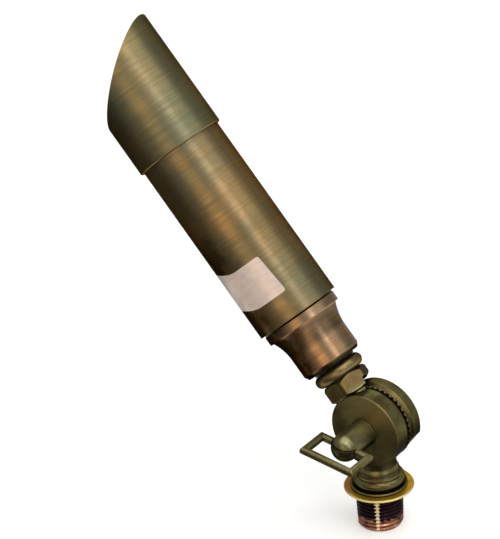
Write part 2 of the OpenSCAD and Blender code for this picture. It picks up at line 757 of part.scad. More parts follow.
// Outline of the foot: half-round lip, rounded collar, two steps and the neck
function foot_outline(neck_top) =
    let (z = flange_t, h = collar_h, r = collar_r, n = foot_neck_r, lip_r = r - 0.93 + lip_w)
    concat(
        [[0, z]],
        arc_points(lip_r - lip_h / 2, z + lip_h / 2, lip_h / 2, -60, 90, 8),
        [[r - 0.93, z + lip_h]],
        arc_points(r - 2.6, z + 0.36 * h, 2.6, -50, 58, 8),
        [[r - 1.75, z + 0.6 * h], [r - 1.75, z + 0.71 * h], [r - 2.15, z + 0.77 * h],
         [r - 2.2, z + 0.86 * h], [n + 0.5, z + h]],
        arc_points(n + 2, z + h + 1.5, 2, 205, 180, 3),
        [[n, neck_top], [0, neck_top]]);

// Thin washer under the foot, recessed below for the end of the thread
module flange_washer() {
    flange_r = flange_d / 2;
    color("#c9b04a") difference() {
        rotate_extrude() polygon(concat(
            [[0, 0], [flange_r - 0.3, 0]],
            arc_points(flange_r - flange_t / 2, flange_t / 2, flange_t / 2, -50, 90, 6),
            [[0, flange_t]]));
        bore(root_r + fit, -1, flange_t + 1);
        bore(nipple_d / 2 + relief_gap, -1, relief_t);
    }
}

module nipple() {
    r = nipple_d / 2;
    c = nipple_chamfer;
    color("#8a5744") difference() {
        rotate_extrude() polygon([
            [0, -nipple_len], [r - c, -nipple_len], [r, c - nipple_len], [r, relief_t],
            [root_r, relief_t], [root_r, root_len], [0, root_len]]);
        bore(nipple_bore / 2, -nipple_len - 1, root_len + 1);
    }
}

shroud();
shroud_o_rings();
lens_ring();
lens();
lens_gasket();
body_tube();
lamp_reflector();
lamp_capsule();
lamp_pins();
lampholder();
socket_bracket();
bracket_screws();
socket_leads();
splice_caps();
base_cap();
base_cap_gasket();
base_cap_o_ring();
neck_gasket();
upper_knuckle();
clamp_washer();
thumb_screw();
clamp_stud();
lower_knuckle();
flange_washer();
nipple();
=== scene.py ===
"""Looks of the brass directional spotlight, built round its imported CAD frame.

Frame: +Z up, the origin on the nipple axis under the flange, the knuckle turns about the Y axis,
the head leans towards -X and the thumb screw stands at -Y. Lengths are in metres, and inside the
materials places are in millimetres.
"""

import math

import bmesh
import bpy
from mathutils import Matrix, Vector


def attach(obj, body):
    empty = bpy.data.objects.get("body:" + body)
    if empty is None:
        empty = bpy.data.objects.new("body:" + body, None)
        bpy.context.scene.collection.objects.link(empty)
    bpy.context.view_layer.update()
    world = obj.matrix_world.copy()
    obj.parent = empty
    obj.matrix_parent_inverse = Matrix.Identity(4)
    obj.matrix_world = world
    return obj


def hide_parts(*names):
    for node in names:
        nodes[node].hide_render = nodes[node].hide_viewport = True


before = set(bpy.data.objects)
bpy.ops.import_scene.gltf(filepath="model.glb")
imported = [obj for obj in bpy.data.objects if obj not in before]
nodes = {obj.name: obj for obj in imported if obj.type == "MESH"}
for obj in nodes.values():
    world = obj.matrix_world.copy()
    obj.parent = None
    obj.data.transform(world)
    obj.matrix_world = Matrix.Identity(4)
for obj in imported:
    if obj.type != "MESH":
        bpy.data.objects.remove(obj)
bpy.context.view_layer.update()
scene = bpy.context.scene
MM = 0.001

# Camera. The spotlight is seen from 30 degrees above through a long lens, a good metre away,
# with the thumb screw towards the viewer and the head leaning up to the left.
KNUCKLE_H = 31 * MM
VIEW_AZIMUTH = 34.61
VIEW_ELEVATION = 30.13
VIEW_DISTANCE = 1165.54 * MM
VIEW_YAW = -2.46
VIEW_PITCH = -3.33
VIEW_ROLL = 2.92
FOCAL_PIXELS = 2736.65
PICTURE_WIDTH = 500
SENSOR_WIDTH = 36
NEAREST_SEEN = 0.05
FARTHEST_SEEN = 30


def rotation(degrees, axis):
    return Matrix.Rotation(math.radians(degrees), 3, axis)


view_az = math.radians(VIEW_AZIMUTH)
view_el = math.radians(VIEW_ELEVATION)
view_back = Vector((math.sin(view_az) * math.cos(view_el),
                    -math.cos(view_az) * math.cos(view_el),
                    math.sin(view_el)))
view_right = Vector((math.cos(view_az), math.sin(view_az), 0))
view_rows = Matrix((view_right, view_back.cross(view_right), view_back))
view_rows = (rotation(VIEW_ROLL, "Z") @ rotation(VIEW_PITCH, "X") @ rotation(VIEW_YAW, "Y")
             @ view_rows)
camera_data = bpy.data.cameras.new("studio_camera")
camera_data.sensor_fit = "HORIZONTAL"
camera_data.sensor_width = SENSOR_WIDTH
camera_data.lens = SENSOR_WIDTH * FOCAL_PIXELS / PICTURE_WIDTH
camera_data.clip_start = NEAREST_SEEN
camera_data.clip_end = FARTHEST_SEEN
camera = bpy.data.objects.new("studio_camera", camera_data)
scene.collection.objects.link(camera)
camera.matrix_world = (Matrix.Translation(view_back * VIEW_DISTANCE + Vector((0, 0, KNUCKLE_H)))
                       @ view_rows.transposed().to_4x4())
scene.camera = camera
scene.view_settings.view_transform = "Standard"


# Studio floor. A wide sheet of pale matt card that the nipple's end stands on. It is lit by the
# same lamps as the object, lifted to white where it is seen, and keeps its soft shadow.
FLOOR_SIZE = 12
FLOOR_Z = -18.05 * MM
FLOOR_COLOUR = "#f4f4f2"
FLOOR_LIFT = 0.36


def written(colour):
    """A colour as it is written on screen, as linear RGBA."""
    parts = [int(colour[i:i + 2], 16) / 255 for i in (1, 3, 5)]
    linear = [p / 12.92 if p <= 0.04045 else ((p + 0.055) / 1.055) ** 2.4 for p in parts]
    return (*linear, 1.0)


def feed(tree, node, sockets):
    """Links inputs of a node to other nodes' outputs, or sets them to values or colours."""
    for name, value in sockets.items():
        if isinstance(value, bpy.types.NodeSocket):
            tree.links.new(value, node.inputs[name])
        elif isinstance(value, str):
            node.inputs[name].default_value = written(value)
        else:
            node.inputs[name].default_value = value


def add(tree, kind, sockets, **settings):
    """A new node with its settings, and its inputs fed by name or by index."""
    node = tree.nodes.new(kind)
    for name, value in settings.items():
        setattr(node, name, value)
    feed(tree, node, sockets)
    return node


def maths(tree, operation, a, b=0.0, clamp=False):
    """The result of one sum on numbers or sockets."""
    node = add(tree, "ShaderNodeMath", {0: a, 1: b}, operation=operation, use_clamp=clamp)
    return node.outputs[0]


def plain_material(name, colour, roughness, metallic=0.0):
    """A material with its Principled shader: the material, its tree and the shader."""
    material = bpy.data.materials.new(name)
    material.use_nodes = True
    tree = material.node_tree
    shader = tree.nodes["Principled BSDF"]
    feed(tree, shader, {"Base Color": colour, "Roughness": roughness, "Metallic": metallic})
    return material, tree, shader


def relief(tree, shader, height, strength, depth=MM, normal=None):
    """Fine relief on a surface from a height, over a normal that is there already."""
    bump = add(tree, "ShaderNodeBump", {"Height": height, "Strength": strength,
                                        "Distance": depth})
    if normal:
        feed(tree, bump, {"Normal": normal})
    feed(tree, shader, {"Normal": bump.outputs["Normal"]})


def new_object(name, mesh, material):
    mesh.materials.append(material)
    piece = bpy.data.objects.new(name, mesh)
    scene.collection.objects.link(piece)
    return piece


def flat_card(name, corners, material):
    """A flat four-sided card through its corners."""
    mesh = bpy.data.meshes.new(name)
    mesh.from_pydata(corners, [], [(0, 1, 2, 3)])
    card = new_object(name, mesh, material)
    return card


floor_card, tree, shader = plain_material("floor_card", FLOOR_COLOUR, 0.9)
fibre = add(tree, "ShaderNodeTexNoise", {"Scale": 300.0, "Detail": 3.0})
relief(tree, shader, fibre.outputs["Fac"], 0.02)
ray = tree.nodes.new("ShaderNodeLightPath").outputs
in_view = maths(tree, "MAXIMUM", ray["Is Camera Ray"], ray["Is Glossy Ray"])
in_view = maths(tree, "MAXIMUM", in_view, ray["Is Transmission Ray"])
feed(tree, shader, {"Emission Color": "#ffffff",
                    "Emission Strength": maths(tree, "MULTIPLY", in_view, FLOOR_LIFT)})
half = FLOOR_SIZE / 2
flat_card("studio_floor", [(-half, -half, FLOOR_Z), (half, -half, FLOOR_Z),
                           (half, half, FLOOR_Z), (-half, half, FLOOR_Z)], floor_card)


# Felt flags. Two sheets of dark brown felt laid on the floor in front and on the left, which
# darken the lower left side of the round metal. Like the lamps, they show only in reflections.
FELT_COLOUR = "#3a270c"
FLAG_Z = FLOOR_Z + 0.5 * MM
# the corners that both flags share, beside the object and far in front
FLAG_NEAR = (-0.15, -0.115, FLAG_Z)
FLAG_FAR = (-1.0, -1.1, FLAG_Z)
brown_felt, tree, shader = plain_material("brown_felt", FELT_COLOUR, 0.95)
fibre = add(tree, "ShaderNodeTexNoise", {"Scale": 900.0, "Detail": 2.0})
relief(tree, shader, fibre.outputs["Fac"], 0.2, 0.5 * MM)
front_flag = flat_card("front_flag", [FLAG_NEAR, FLAG_FAR, (0.5, -1.1, FLAG_Z),
                                      (0.08, -0.012, FLAG_Z)], brown_felt)
left_flag = flat_card("left_flag", [FLAG_NEAR, (-0.62, 0.43, FLAG_Z), (-1.5, 0.2, FLAG_Z),
                                    FLAG_FAR], brown_felt)
for flag in (front_flag, left_flag):
    flag.visible_camera = False
    flag.visible_shadow = False
    flag.visible_diffuse = False


# Studio light. A pale room, a wide soft box overhead, a strip box to the right that draws the
# long highlight down the head, a broad warm box in front on the left and a cool one behind.
WORLD_COLOUR = "#dfe3e6"
WORLD_STRENGTH = 0.4
HEAD_LEAN = math.radians(40.5)
HEAD_AXIS = Vector((-math.sin(HEAD_LEAN), 0, math.cos(HEAD_LEAN)))
HEAD_MIDDLE = Vector((-71.4 * MM, 0, 114.6 * MM))

world = bpy.data.worlds.new("studio_room")
world.use_nodes = True
feed(world.node_tree, world.node_tree.nodes["Background"],
     {"Color": WORLD_COLOUR, "Strength": WORLD_STRENGTH})
scene.world = world


def soft_box(name, towards, distance, along, width, length, radiance, colour):
    """A rectangular lamp that faces the head from a direction, its long side along a line."""
    data = bpy.data.lights.new(name, "AREA")
    data.shape = "RECTANGLE"
    data.size = width
    data.size_y = length
    data.energy = radiance * math.pi * width * length
    data.color = written(colour)[:3]
    lamp = bpy.data.objects.new(name, data)
    scene.collection.objects.link(lamp)
    back = Vector(towards).normalized()
    side = Vector(along).cross(back).normalized()
    axes = Matrix((side, back.cross(side), back)).transposed()
    lamp.matrix_world = Matrix.Translation(HEAD_MIDDLE + back * distance) @ axes.to_4x4()


soft_box("overhead_box", (0.1, -0.1, 1), 1.3, (0, 1, 0), 1.5, 1.5, 1.6, "#ffffff")
soft_box("strip_box", (0.765, -0.282, 0.569), 0.75, HEAD_AXIS, 0.13, 0.8, 4.1, "#f3eff6")
soft_box("right_box", (0.77, 0.25, 0.575), 1.0, HEAD_AXIS, 0.5, 1.0, 0.8, "#eef4e6")
soft_box("front_box", (0.35, -0.91, 0.2), 0.9, HEAD_AXIS, 0.5, 0.9, 1.25, "#ffdcac")
soft_box("back_box", (-0.49, 0.71, 0.5), 1.2, (1, 0.7, 0), 0.9, 0.9, 1.0, "#f4f6ee")


# Antique finish. All the brass is turned or cast, dipped in a dark patina and then relieved, so
# the metal shows through on the edges and the dark stays in the grain and the corners.
# Painted shade darkens chosen sides of the metal, by the way a surface faces or by its place.
NUMBER = "NodeSocketFloat"
ARROW = "NodeSocketVector"
RAY_SAMPLES = 6


def node_group(name, inputs, outputs):
    """An empty shader node group with named sockets: its tree, its inputs and its end node."""
    tree = bpy.data.node_groups.new(name, "ShaderNodeTree")
    for socket, kind, value in inputs:
        made = tree.interface.new_socket(name=socket, in_out="INPUT", socket_type=kind)
        if value is not None:
            made.default_value = value
    for socket in outputs:
        tree.interface.new_socket(name=socket, in_out="OUTPUT", socket_type=NUMBER)
    start = tree.nodes.new("NodeGroupInput")
    end = tree.nodes.new("NodeGroupOutput")
    return tree, start.outputs, end


def noise(tree, place, scale, detail, roughness=0.5):
    """Soft noise over a surface, from 0 to 1."""
    return add(tree, "ShaderNodeTexNoise", {"Vector": place, "Scale": scale, "Detail": detail,
                                            "Roughness": roughness}).outputs["Fac"]


def split(tree, arrow):
    """The X, Y and Z of a place or a direction."""
    return add(tree, "ShaderNodeSeparateXYZ", {"Vector": arrow}).outputs


def along_line(tree, arrow, line):
    """How far a place or a direction reaches along a line."""
    return add(tree, "ShaderNodeVectorMath", {0: arrow, 1: line},
               operation="DOT_PRODUCT").outputs["Value"]


def eased(tree, value, span, share=(0.0, 1.0)):
    """A value taken smoothly from one span to another, and held beyond its ends."""
    node = add(tree, "ShaderNodeMapRange", {"Value": value, "From Min": span[0],
                                            "From Max": span[1], "To Min": share[0],
                                            "To Max": share[1]},
               interpolation_type="SMOOTHSTEP")
    return node.outputs["Result"]


def build_brushed_grain():
    """Fine lines left round a turned face by abrasive cloth, as a height and a coarse streak."""
    tree, start, end = node_group(
        "brushed_grain",
        [("Place", ARROW, None), ("Line Length", NUMBER, 14.0), ("Line Width", NUMBER, 0.3)],
        ["Height", "Streak"])
    parts = split(tree, start["Place"])
    x = maths(tree, "DIVIDE", parts["X"], start["Line Length"])
    y = maths(tree, "DIVIDE", parts["Y"], start["Line Length"])
    z = maths(tree, "DIVIDE", parts["Z"], start["Line Width"])
    broad_z = maths(tree, "MULTIPLY", z, 0.22)
    fine = add(tree, "ShaderNodeCombineXYZ", {"X": x, "Y": y, "Z": z}).outputs["Vector"]
    broad = add(tree, "ShaderNodeCombineXYZ", {"X": x, "Y": y, "Z": broad_z}).outputs["Vector"]
    feed(tree, end, {"Height": noise(tree, fine, 1.0, 2.0, 0.7),
                     "Streak": noise(tree, broad, 1.0, 3.0, 0.6)})
    return tree


def build_edge_wear():
    """A mask of the sharp edges, broken up by handling."""
    tree, start, end = node_group(
        "edge_wear",
        [("Place", ARROW, None), ("Radius", NUMBER, 0.0005), ("Reach", NUMBER, 0.12),
         ("Patch Size", NUMBER, 4.0)],
        ["Mask"])
    bevel = add(tree, "ShaderNodeBevel", {"Radius": start["Radius"]}, samples=RAY_SAMPLES)
    surface = tree.nodes.new("ShaderNodeNewGeometry")
    level = along_line(tree, bevel.outputs["Normal"], surface.outputs["Normal"])
    edge = maths(tree, "DIVIDE", maths(tree, "SUBTRACT", 1.0, level), start["Reach"], clamp=True)
    patches = noise(tree, start["Place"], maths(tree, "DIVIDE", 1.0, start["Patch Size"]), 3.0)
    broken = eased(tree, patches, (0.32, 0.6), (0.25, 1.0))
    feed(tree, end, {"Mask": maths(tree, "MULTIPLY", edge, broken)})
    return tree


def build_patina_cloud():
    """Soft uneven clouds of a dipped patina."""
    tree, start, end = node_group(
        "patina_cloud",
        [("Place", ARROW, None), ("Cloud Size", NUMBER, 20.0), ("Low", NUMBER, 0.35),
         ("High", NUMBER, 0.65)],
        ["Mask"])
    scale = maths(tree, "DIVIDE", 1.0, start["Cloud Size"])
    cloud = noise(tree, start["Place"], scale, 4.0, 0.55)
    feed(tree, end, {"Mask": eased(tree, cloud, (start["Low"], start["High"]))})
    return tree


def build_corner_dark():
    """A mask of the corners and crevices: at a small depth where the dark patina and dust stay, at a
    larger depth painted shade.
    """
    tree, start, end = node_group(
        "corner_dark",
        [("Depth", NUMBER, 0.003), ("Low", NUMBER, 0.35), ("High", NUMBER, 0.85)],
        ["Mask"])
    opened = add(tree, "ShaderNodeAmbientOcclusion", {"Distance": start["Depth"]},
                 samples=RAY_SAMPLES)
    mask = eased(tree, opened.outputs["AO"], (start["Low"], start["High"]), (1.0, 0.0))
    feed(tree, end, {"Mask": mask})
    return tree


def build_side_shade():
    """A mask of the side that looks one way, where shade is painted."""
    tree, start, end = node_group(
        "painted_side_shade",
        [("Place", ARROW, None), ("Facing", ARROW, None), ("Side", ARROW, (0, 0, -1)),
         ("Low", NUMBER, 0.0), ("High", NUMBER, 0.4)],
        ["Mask"])
    uneven = eased(tree, noise(tree, start["Place"], 0.12, 3.0), (0.3, 0.7), (-0.1, 0.1))
    reach = maths(tree, "ADD", along_line(tree, start["Facing"], start["Side"]), uneven)
    feed(tree, end, {"Mask": eased(tree, reach, (start["Low"], start["High"]))})
    return tree


BRUSHED_GRAIN = build_brushed_grain()
EDGE_WEAR = build_edge_wear()
PATINA_CLOUD = build_patina_cloud()
CORNER_DARK = build_corner_dark()
SIDE_SHADE_GROUP = build_side_shade()


def put_group(tree, group, sockets):
    """One of the finish groups placed in a material with its own values."""
    node = tree.nodes.new("ShaderNodeGroup")
    node.node_tree = group
    feed(tree, node, sockets)
    return node.outputs


def grain_of(tree, place, length, width):
    return put_group(tree, BRUSHED_GRAIN, {"Place": place, "Line Length": length,
                                           "Line Width": width})


def wear_mask(tree, place, patch, radius=0.6 * MM, reach=0.1):
    return put_group(tree, EDGE_WEAR, {"Place": place, "Radius": radius, "Reach": reach,
                                       "Patch Size": patch})["Mask"]


def cloud_mask(tree, place, size, low, high):
    return put_group(tree, PATINA_CLOUD, {"Place": place, "Cloud Size": size, "Low": low,
                                          "High": high})["Mask"]


def corner_mask(tree, depth, low, high):
    return put_group(tree, CORNER_DARK, {"Depth": depth, "Low": low, "High": high})["Mask"]


def facing(tree):
    """The direction that the surface faces, in the object's own frame."""
    return tree.nodes.new("ShaderNodeTexCoord").outputs["Normal"]


def side_shade_mask(tree, place, side, low, high, measured=None):
    """Mask of painted shade on a side, by the way that the surface faces or by a place that is
    measured.
    """
    return put_group(tree, SIDE_SHADE_GROUP, {"Place": place, "Facing": measured or facing(tree),
                                       "Side": side, "Low": low, "High": high})["Mask"]


def covered(tree, colour, cover, mask, share=None):
    """A colour with another laid over it where a mask says, up to a share."""
    if share is not None:
        mask = maths(tree, "MULTIPLY", mask, share)
    # a mix of two colours has its factor at input 0 and the colours at 6 and 7
    mixed = add(tree, "ShaderNodeMix", {0: mask, 6: colour, 7: cover}, data_type="RGBA")
    return mixed.outputs[2]


def place_in_mm(tree, on_head):
    """The place on the piece in millimetres, along the head's own axis where it is on the head."""
    coordinates = tree.nodes.new("ShaderNodeTexCoord").outputs["Object"]
    mapping = add(tree, "ShaderNodeMapping", {"Vector": coordinates, "Scale": (MM, MM, MM)},
                  vector_type="TEXTURE")
    if on_head:
        feed(tree, mapping, {"Location": (0, 0, KNUCKLE_H), "Rotation": (0, -HEAD_LEAN, 0)})
    return mapping.outputs["Vector"]


def give(names, material):
    """Puts a material on CAD nodes."""
    for name in names:
        nodes[name].data.materials.clear()
        nodes[name].data.materials.append(material)


# Body tube and glare shroud. Two lengths of drawn brass tube, turned and brushed round, with a
# bronze patina. The shroud slides and turns on O-rings over the tube and is cut off at a slant.
TUBE_COLOURS = {"dark": "#5f5538", "warm": "#9c8057", "green": "#7f775a", "line": "#b3a17e",
                "edge": "#c08455"}
SHROUD_COLOURS = {"dark": "#575337", "warm": "#91805a", "green": "#7c795e", "line": "#aaa27f",
                  "edge": "#c08455"}
GRAZING_TINT = "#6d5a3c"
# near black laid on as painted shade on the head's underside and in its shade bands
PAINTED_SHADE_BLACK = "#1a160a"
CORNER_BLACK = "#1c190d"
HEAD_UNDERSIDE = (-math.cos(HEAD_LEAN), 0, -math.sin(HEAD_LEAN))
SHADE_BAND_EDGE = 0.7


def brushed_brass(name, colours, roughness, line_share, painted_shade_share, painted_shade_span, shade_bands=(),
                  lacquer=0.0, painted_shade_reach=(-0.16, 0.2)):
    """Brushed brass with painted shade on its underside; the shade bands are bands of painted shade
    along the head in mm, with how dark they are.
    """
    material, tree, shader = plain_material(name, colours["warm"], roughness, 0.98)
    place = place_in_mm(tree, True)
    grain = grain_of(tree, place, 22.0, 0.2)
    colour = covered(tree, colours["warm"], colours["green"],
                     cloud_mask(tree, place, 26.0, 0.36, 0.64))
    shade = eased(tree, grain["Streak"], (0.3, 0.62), (0.28, 0.0))
    colour = covered(tree, colour, colours["dark"], shade)
    lines = eased(tree, grain["Height"], (0.5, 0.72), (0.0, line_share))
    colour = covered(tree, colour, colours["line"], lines)
    colour = covered(tree, colour, colours["dark"], cloud_mask(tree, place, 17.0, 0.42, 0.7), 0.22)
    colour = covered(tree, colour, colours["edge"], wear_mask(tree, place, 6.0), 0.85)
    colour = covered(tree, colour, CORNER_BLACK, corner_mask(tree, 1.5 * MM, 0.3, 0.75), 0.8)
    # painted shade on the head's underside, faded out along a span of the head
    painted_shade = side_shade_mask(tree, place, HEAD_UNDERSIDE, *painted_shade_reach)
    along = split(tree, place)["Z"]
    coat = lacquer
    # bands of painted shade along the head, with no lacquer in them
    for low, high, share in shade_bands:
        shade_band = maths(tree, "MULTIPLY",
                     eased(tree, along, (low - SHADE_BAND_EDGE, low + SHADE_BAND_EDGE)),
                     eased(tree, along, (high - SHADE_BAND_EDGE, high + SHADE_BAND_EDGE), (share, 0.0)))
        colour = covered(tree, colour, PAINTED_SHADE_BLACK, shade_band)
        coat = maths(tree, "MULTIPLY", maths(tree, "SUBTRACT", 1.0, shade_band), coat)
    # no lacquer where the painted shade lies
    if lacquer:
        coat = maths(tree, "MULTIPLY", maths(tree, "SUBTRACT", 1.0, painted_shade), coat)
        feed(tree, shader, {"Coat Weight": coat, "Coat Roughness": 0.32})
    painted_shade = maths(tree, "MULTIPLY", painted_shade, eased(tree, along, painted_shade_span, (painted_shade_share, 0.0)))
    across_brushing = add(tree, "ShaderNodeVectorTransform", {"Vector": HEAD_AXIS},
                          vector_type="VECTOR", convert_from="OBJECT", convert_to="WORLD")
    feed(tree, shader, {
        "Base Color": covered(tree, colour, PAINTED_SHADE_BLACK, painted_shade),
        "Roughness": eased(tree, grain["Streak"], (0.3, 0.7), (roughness + 0.06, roughness - 0.04)),
        "Specular Tint": GRAZING_TINT,
        "Anisotropic": 0.45,
        "Tangent": across_brushing.outputs["Vector"]})
    relief(tree, shader, grain["Height"], 0.28, 0.04 * MM)
    return material


# painted shade on the underside, strong on the tube and faint on the shroud
give(["body_tube"], brushed_brass("brushed_antique_brass", TUBE_COLOURS, 0.4, 0.3,
                                  painted_shade_share=0.85, painted_shade_span=(85, 140)))
give(["shroud"], brushed_brass("brushed_olive_brass", SHROUD_COLOURS, 0.42, 0.25,
                               painted_shade_share=0.15, painted_shade_span=(150, 220)))


# Base cap. Turned from brass bar with a ring, a concave flare and a neck, brushed like the tube
# but rubbed back further, so it is more coppery. Its spigot goes up into the tube.
CAP_COLOURS = {"dark": "#5a442a", "warm": "#ad8259", "green": "#927a5a", "line": "#e0c6a8",
               "edge": "#c9905c"}
# bands of painted shade on the cap's flare and at its end by the knuckle: from, to in mm, and how
# dark
CAP_FLARE_SHADE = (43.0, 51.6, 0.4)
CAP_END_SHADE = (20.0, 32.6, 0.9)
give(["base_cap"], brushed_brass("brushed_copper_brass", CAP_COLOURS, 0.36, 0.45,
                                 painted_shade_share=0.9, painted_shade_span=(60, 90),
                                 shade_bands=(CAP_FLARE_SHADE, CAP_END_SHADE), lacquer=0.6,
                                 painted_shade_reach=(-0.22, 0.1)))


# Knuckles, thumb screw and clamp washer. Sand-cast bronze, tumbled and dipped dark olive, with
# the metal rubbed through on the rims, the hexagon's corners, the teeth and the loop's edges.
# Painted shade darkens their undersides, lower right sides, tops, low sides and wider hollows.
CAST_DARK = "#38331c"
CAST_OLIVE = "#807d54"
CAST_BROWN = "#78643d"
CAST_EDGE = "#c4ab74"
CAST_BLACK = "#14130a"
# sides with painted shade: the way they look, where the mask starts and ends, and its share
CAST_UNDERSIDE = ((-0.57, -0.12, -0.81), 0.0, 0.55, 0.88)
CAST_BELOW_RIGHT = ((0.35, 0, -0.94), 0.2, 0.7, 0.7)
CAST_TOP = ((-0.1, 0, 0.995), 0.72, 1.0)
# painted shade on the low side, by place at rest in mm: the way and the span
LOW_SIDE = (0.55, 0, -1)
LOW_SIDE_SPAN = (-40.0, -20.0)


def cast_bronze(name, on_head, olive, brown_share, low_share, top_share):
    """Dipped casting with painted shade: material, tree, shader, place at rest in mm, colour and the
    low side's painted shade mask.
    """
    material, tree, shader = plain_material(name, olive, 0.34, 0.9)
    place = place_in_mm(tree, on_head)
    wear = wear_mask(tree, place, 3.0)
    sand = noise(tree, place, 2.4, 4.0, 0.65)
    colour = covered(tree, olive, CAST_BROWN, cloud_mask(tree, place, 9.0, 0.38, 0.66),
                     brown_share)
    colour = covered(tree, colour, CAST_DARK, cloud_mask(tree, place, 2.6, 0.4, 0.75), 0.3)
    colour = covered(tree, colour, CAST_EDGE, eased(tree, sand, (0.5, 0.7), (0.0, 0.25)))
    colour = covered(tree, colour, CAST_EDGE, wear, 0.7)
    colour = covered(tree, colour, CAST_BLACK, corner_mask(tree, 2.5 * MM, 0.25, 0.8), 0.85)
    # painted shade in the wider hollows, such as under the disc
    colour = covered(tree, colour, CAST_BLACK, corner_mask(tree, 7 * MM, 0.2, 0.7), 0.4)
    # painted shade on the underside, the lower right and the top
    painted_sides = 0.0
    for side, low, high, share in (CAST_UNDERSIDE, CAST_BELOW_RIGHT, (*CAST_TOP, top_share)):
        painted_side = maths(tree, "MULTIPLY", side_shade_mask(tree, place, side, low, high), share)
        painted_sides = maths(tree, "MAXIMUM", painted_sides, painted_side)
    colour = covered(tree, colour, CAST_BLACK, painted_sides)
    # painted shade on the low side, handed back to be laid on
    at_rest = place_in_mm(tree, False)
    low_side = side_shade_mask(tree, place, LOW_SIDE, *LOW_SIDE_SPAN, measured=at_rest)
    low_side = maths(tree, "MULTIPLY", low_side, low_share)
    rough = maths(tree, "SUBTRACT", eased(tree, sand, (0.3, 0.7), (0.26, 0.4)),
                  maths(tree, "MULTIPLY", wear, 0.1))
    feed(tree, shader, {"Roughness": rough, "Specular Tint": GRAZING_TINT})
    rounded = add(tree, "ShaderNodeBevel", {"Radius": 0.22 * MM}, samples=RAY_SAMPLES)
    swell = noise(tree, place, 0.35, 2.0)
    height = maths(tree, "ADD", maths(tree, "MULTIPLY", sand, 0.35), swell)
    relief(tree, shader, height, 0.35, 0.16 * MM, rounded.outputs["Normal"])
    return material, tree, shader, at_rest, colour, low_side


# The upper knuckle's bead is browner; its disc face has painted light at the upper right and
# painted shade at the left and lower right, and its tooth gap has painted shade
BEAD_COLOUR = "#8c7654"
HEXAGON_DARK = "#3f3018"
PAINTED_LIGHT_COLOUR = "#b8a870"
LEFT_SIDE = (-0.82, -0.45, -0.35)
# places along the head in mm
FACE_END = (14, 17)
DISC_END = (16.9, 17.3)
HEXAGON_END = (23.8, 24.6)
# depth of the tooth gap along the knuckle's axis in mm
TOOTH_GAP = (-1.7, -1.2)
cast_head, tree, shader, place, colour, low_side = cast_bronze(
    "cast_bronze_head", True, CAST_OLIVE, 1.0, 0.65, 0.45)
along = split(tree, place_in_mm(tree, True))["Z"]
colour = covered(tree, colour, BEAD_COLOUR, eased(tree, along, HEXAGON_END, (0.0, 0.6)))
on_hexagon = maths(tree, "MULTIPLY", eased(tree, along, DISC_END),
                   eased(tree, along, HEXAGON_END, (0.45, 0.0)))
colour = covered(tree, colour, HEXAGON_DARK, on_hexagon)
# painted shade on the side that looks to the left and down
colour = covered(tree, colour, CAST_BLACK, side_shade_mask(tree, place, LEFT_SIDE, 0.35, 0.85), 0.8)
on_face = maths(tree, "MULTIPLY", eased(tree, along_line(tree, facing(tree), (0, -1, 0)),
                                        (0.85, 0.97)),
                eased(tree, along, FACE_END, (1.0, 0.0)))
# painted light on the upper right of the disc's face
painted_face_light = eased(tree, along_line(tree, place, (0.6, 0, 0.8)), (22, 40), (0.1, 0.85))
colour = covered(tree, colour, PAINTED_LIGHT_COLOUR, maths(tree, "MULTIPLY", on_face, painted_face_light))
# painted shade on the lower right of the disc's face
painted_face_shade = eased(tree, along_line(tree, place, (0.8, 0, 0.6)), (9, 24), (0.75, 0.1))
colour = covered(tree, colour, CAST_BLACK, maths(tree, "MULTIPLY", on_face, painted_face_shade))
# painted shade in the tooth gap between the discs
gap = maths(tree, "MULTIPLY", eased(tree, split(tree, place)["Y"], TOOTH_GAP, (0.0, 0.95)),
            eased(tree, along, DISC_END, (1.0, 0.0)))
colour = covered(tree, colour, CAST_BLACK, maths(tree, "MAXIMUM", gap, low_side))
feed(tree, shader, {"Base Color": colour})
give(["upper_knuckle"], cast_head)

# The lower knuckle's foot has painted shade in bands between its turned steps, its teeth are lighter
TOOTH_COLOUR = "#a88e63"
BAND_SCALE = 20.0
# height in mm, share of the painted shade
FOOT_SHADE_BANDS = [(0.0, 0.45), (1.2, 0.0), (2.2, 0.0), (2.5, 0.7), (5.2, 0.45), (6.1, 0.05),
              (7.6, 0.05), (8.0, 0.75), (9.8, 0.75), (10.2, 0.1), (11.2, 0.15), (11.7, 0.9),
              (13.0, 1.0)]
cast_foot, tree, shader, place, colour, low_side = cast_bronze(
    "cast_bronze_foot", False, CAST_OLIVE, 0.8, 0.85, 0.45)
parts = split(tree, place)
tooth_tips = maths(tree, "MULTIPLY", eased(tree, parts["Y"], (0.4, 1.5), (0.8, 0.0)),
                   eased(tree, parts["Z"], (16, 30)))
colour = covered(tree, colour, TOOTH_COLOUR, tooth_tips)
foot_shade_ramp = add(tree, "ShaderNodeValToRGB", {"Fac": maths(tree, "DIVIDE", parts["Z"], BAND_SCALE)})
stops = foot_shade_ramp.color_ramp.elements
for index, (height, share) in enumerate(FOOT_SHADE_BANDS):
    # a new ramp has two stops already
    stop = stops[index] if index < 2 else stops.new(height / BAND_SCALE)
    stop.position = height / BAND_SCALE
    stop.color = (share, share, share, 1)
# painted shade in bands on the foot's low side
foot_shade = maths(tree, "MULTIPLY", low_side, foot_shade_ramp.outputs["Color"])
feed(tree, shader, {"Base Color": covered(tree, colour, CAST_BLACK, foot_shade)})
give(["lower_knuckle"], cast_foot)

